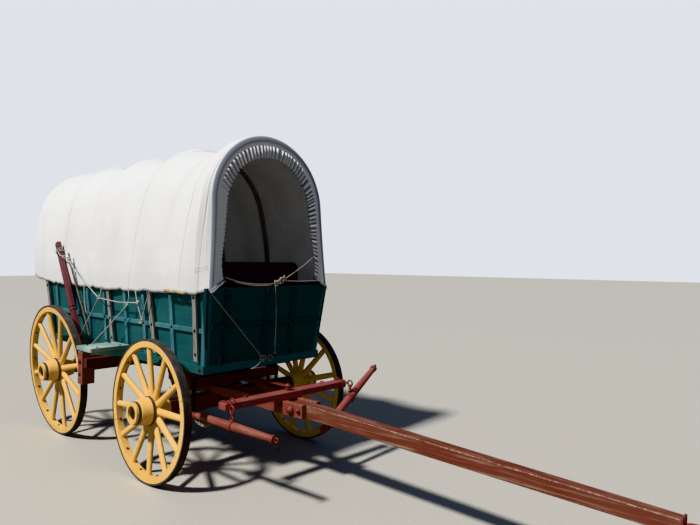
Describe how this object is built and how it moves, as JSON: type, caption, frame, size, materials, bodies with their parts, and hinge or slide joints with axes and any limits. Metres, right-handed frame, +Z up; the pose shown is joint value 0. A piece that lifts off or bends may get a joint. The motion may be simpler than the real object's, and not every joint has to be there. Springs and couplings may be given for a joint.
{
  "type": "covered wagon",
  "caption": "Horse-drawn covered wagon with a flared plank box, spoked wheels, a cloth cover on bent bows, a swivelling front gear, and a tongue with doubletree and singletrees.",
  "frame": {"origin": "on the ground, under the middle of the whole wagon with its tongue", "axes": "+X forward to the tongue's tip, +Y to the wagon's left, +Z up"},
  "size_m": [5.88, 1.787, 2.5315],
  "materials": {
    "wheel_paint": "satin",
    "gear_paint": "satin",
    "iron": "satin",
    "tyre_iron": "satin",
    "box_paint": "satin",
    "weathered_wood": "matte",
    "floor_wood": "matte",
    "step_paint": "matte",
    "seat_paint": "satin",
    "canvas": "matte",
    "rope": "matte"
  },
  "bodies": {
    "wagon": {"box_frame": "box_paint", "side_walls": "box_paint", "end_walls": "box_paint", "box_battens": "box_paint", "floor_boards": "floor_wood", "bows": "weathered_wood", "cover": "canvas", "seat": "seat_paint", "step_board": "step_paint", "brake_beam": "gear_paint", "brake_blocks": "gear_paint", "brake_irons": "iron", "brake_lever": "seat_paint", "bolsters": "gear_paint", "kingpin": "iron", "reach": "gear_paint", "rear_hounds": "gear_paint", "rear_axle_bed": "gear_paint", "rear_axle_arms": "iron", "swag_rope": "rope", "rope_tail": "rope"},
    "front_gear": {"front_axle_bed": "gear_paint", "front_axle_arms": "iron", "front_hounds": "gear_paint", "sand_board": "gear_paint", "jaw_pin": "iron", "hound_bridge": "iron"},
    "wheel_front_left": {"front_left_spokes": "wheel_paint", "front_left_felloes": "wheel_paint", "front_left_irons": "tyre_iron"},
    "wheel_front_right": {"front_right_spokes": "wheel_paint", "front_right_felloes": "wheel_paint", "front_right_irons": "tyre_iron"},
    "wheel_rear_left": {"rear_left_spokes": "wheel_paint", "rear_left_felloes": "wheel_paint", "rear_left_irons": "tyre_iron"},
    "wheel_rear_right": {"rear_right_spokes": "wheel_paint", "rear_right_felloes": "wheel_paint", "rear_right_irons": "tyre_iron"},
    "tongue": {"tongue_pole": "gear_paint", "tongue_irons": "iron"},
    "doubletree_bar": {"doubletree": "gear_paint", "doubletree_irons": "iron"},
    "singletree_left_bar": {"singletree_left": "gear_paint", "singletree_left_irons": "iron"},
    "singletree_right_bar": {"singletree_right": "gear_paint", "singletree_right_irons": "iron"}
  },
  "joints": [
    {"name": "front_gear_steer", "type": "hinge", "parent": "wagon", "child": "front_gear", "pos_m": [-0.35, 0, 0.6], "axis": [0, 0, 1], "range_deg": [-14, 14]},
    {"name": "front_left_wheel_spin", "type": "hinge", "parent": "front_gear", "child": "wheel_front_left", "pos_m": [-0.35, 0.757, 0.50912], "axis": [0, 0.9997, 0.0227], "continuous": true},
    {"name": "front_right_wheel_spin", "type": "hinge", "parent": "front_gear", "child": "wheel_front_right", "pos_m": [-0.35, -0.757, 0.50912], "axis": [0, 0.9997, -0.0227], "continuous": true},
    {"name": "rear_left_wheel_spin", "type": "hinge", "parent": "wagon", "child": "wheel_rear_left", "pos_m": [-2.02, 0.757, 0.58258], "axis": [0, 0.9976, -0.0698], "continuous": true},
    {"name": "rear_right_wheel_spin", "type": "hinge", "parent": "wagon", "child": "wheel_rear_right", "pos_m": [-2.02, -0.757, 0.58258], "axis": [0, 0.9976, 0.0698], "continuous": true},
    {"name": "tongue_lift", "type": "hinge", "parent": "front_gear", "child": "tongue", "pos_m": [0.44, 0, 0.539], "axis": [0, 1, 0], "range_deg": [-35, 6]},
    {"name": "doubletree_swing", "type": "hinge", "parent": "front_gear", "child": "doubletree_bar", "pos_m": [0.305, 0, 0.617], "axis": [0, 0, 1], "range_deg": [-5, 8]},
    {"name": "singletree_left_swing", "type": "hinge", "parent": "doubletree_bar", "child": "singletree_left_bar", "pos_m": [0.44242, 0.5225, 0.607], "axis": [0, 0, 1], "range_deg": [-15, 10]},
    {"name": "singletree_right_swing", "type": "hinge", "parent": "doubletree_bar", "child": "singletree_right_bar", "pos_m": [0.3564, -0.53075, 0.581], "axis": [0, 0, 1], "range_deg": [-25, 6]}
  ]
}
